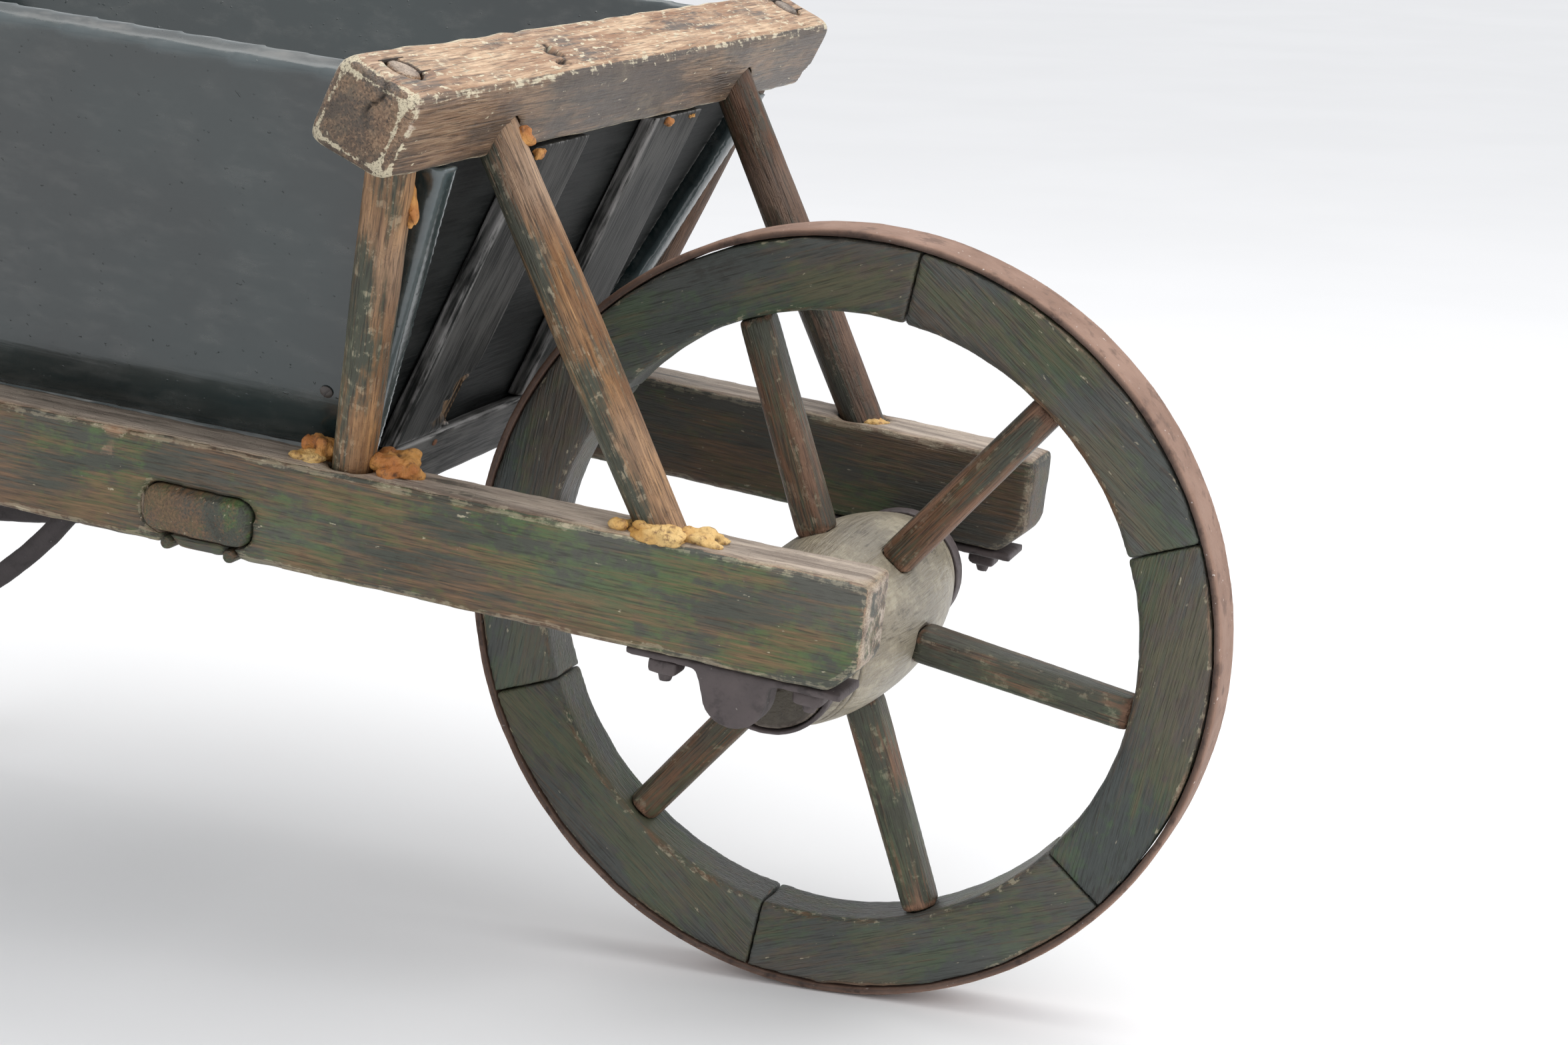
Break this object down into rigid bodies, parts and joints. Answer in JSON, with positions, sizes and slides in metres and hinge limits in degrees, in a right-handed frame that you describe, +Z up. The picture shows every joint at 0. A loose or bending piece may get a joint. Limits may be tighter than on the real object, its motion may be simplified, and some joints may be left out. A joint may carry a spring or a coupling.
{
  "type": "wooden wheelbarrow",
  "caption": "Antique wooden garden wheelbarrow: flared open tray, long shafts with turned grips, head rail on spindles, braced legs and a spoked iron-tyred wheel that turns.",
  "frame": {"origin": "on the ground, under the middle of the barrow's box in length and width", "axes": "+X forwards, from the grips to the wheel; +Y to the left of whoever pushes it, along the wheel's axle; +Z up. The wheel's axle is along Y at x 0.5249 and z 0.254"},
  "size_m": [1.5578, 0.686, 0.6981],
  "materials": {
    "green_wood": "dark green paint worn back to brown wood, matt",
    "worn_wood": "bare weathered wood with traces of cream and green paint",
    "nave_wood": "grey weathered wood with a green tint",
    "tray_paint": "very dark blue-green gloss paint, dusty",
    "rusty_tyre": "rusted and worn wrought iron band",
    "dark_iron": "dark rusted iron with old paint"
  },
  "bodies": {
    "frame": {"bearer_peg_front_left": "worn_wood", "bearer_peg_front_right": "worn_wood", "bearer_peg_rear_left": "worn_wood", "bearer_peg_rear_right": "worn_wood", "bearing_bracket_left": "dark_iron", "bearing_bracket_right": "dark_iron", "bracket_bolt_front_left": "dark_iron", "bracket_bolt_front_right": "dark_iron", "bracket_bolt_rear_left": "dark_iron", "bracket_bolt_rear_right": "dark_iron", "cross_bearer_front": "green_wood", "cross_bearer_middle": "green_wood", "cross_bearer_rear": "green_wood", "floor_board_left": "tray_paint", "floor_board_middle": "tray_paint", "floor_board_right": "tray_paint", "front_batten_left": "tray_paint", "front_batten_right": "tray_paint", "front_board": "tray_paint", "head_rail": "worn_wood", "leg_left": "green_wood", "leg_right": "green_wood", "leg_stay_left": "dark_iron", "leg_stay_right": "dark_iron", "shaft_left": "green_wood", "shaft_right": "green_wood", "side_panel_left": "tray_paint", "side_panel_right": "tray_paint", "spindle_front_left": "worn_wood", "spindle_front_right": "worn_wood", "spindle_rear_left": "worn_wood", "spindle_rear_right": "worn_wood", "stay_bolt_left": "dark_iron", "stay_bolt_right": "dark_iron", "tail_board": "tray_paint", "toe_board": "tray_paint"},
    "wheel": {"axle": "dark_iron", "felloe_1": "green_wood", "felloe_2": "green_wood", "felloe_3": "green_wood", "felloe_4": "green_wood", "felloe_5": "green_wood", "felloe_6": "green_wood", "felloe_dowel_1": "green_wood", "felloe_dowel_2": "green_wood", "felloe_dowel_3": "green_wood", "felloe_dowel_4": "green_wood", "felloe_dowel_5": "green_wood", "felloe_dowel_6": "green_wood", "nave": "nave_wood", "nave_hoop_left": "dark_iron", "nave_hoop_right": "dark_iron", "spoke_1": "green_wood", "spoke_2": "green_wood", "spoke_3": "green_wood", "spoke_4": "green_wood", "spoke_5": "green_wood", "spoke_6": "green_wood", "tyre": "rusty_tyre"}
  },
  "joints": [
    {"name": "wheel_spin", "type": "hinge", "parent": "frame", "child": "wheel", "pos_m": [0.52486, 0, 0.254], "axis": [0, 1, 0], "continuous": true}
  ]
}
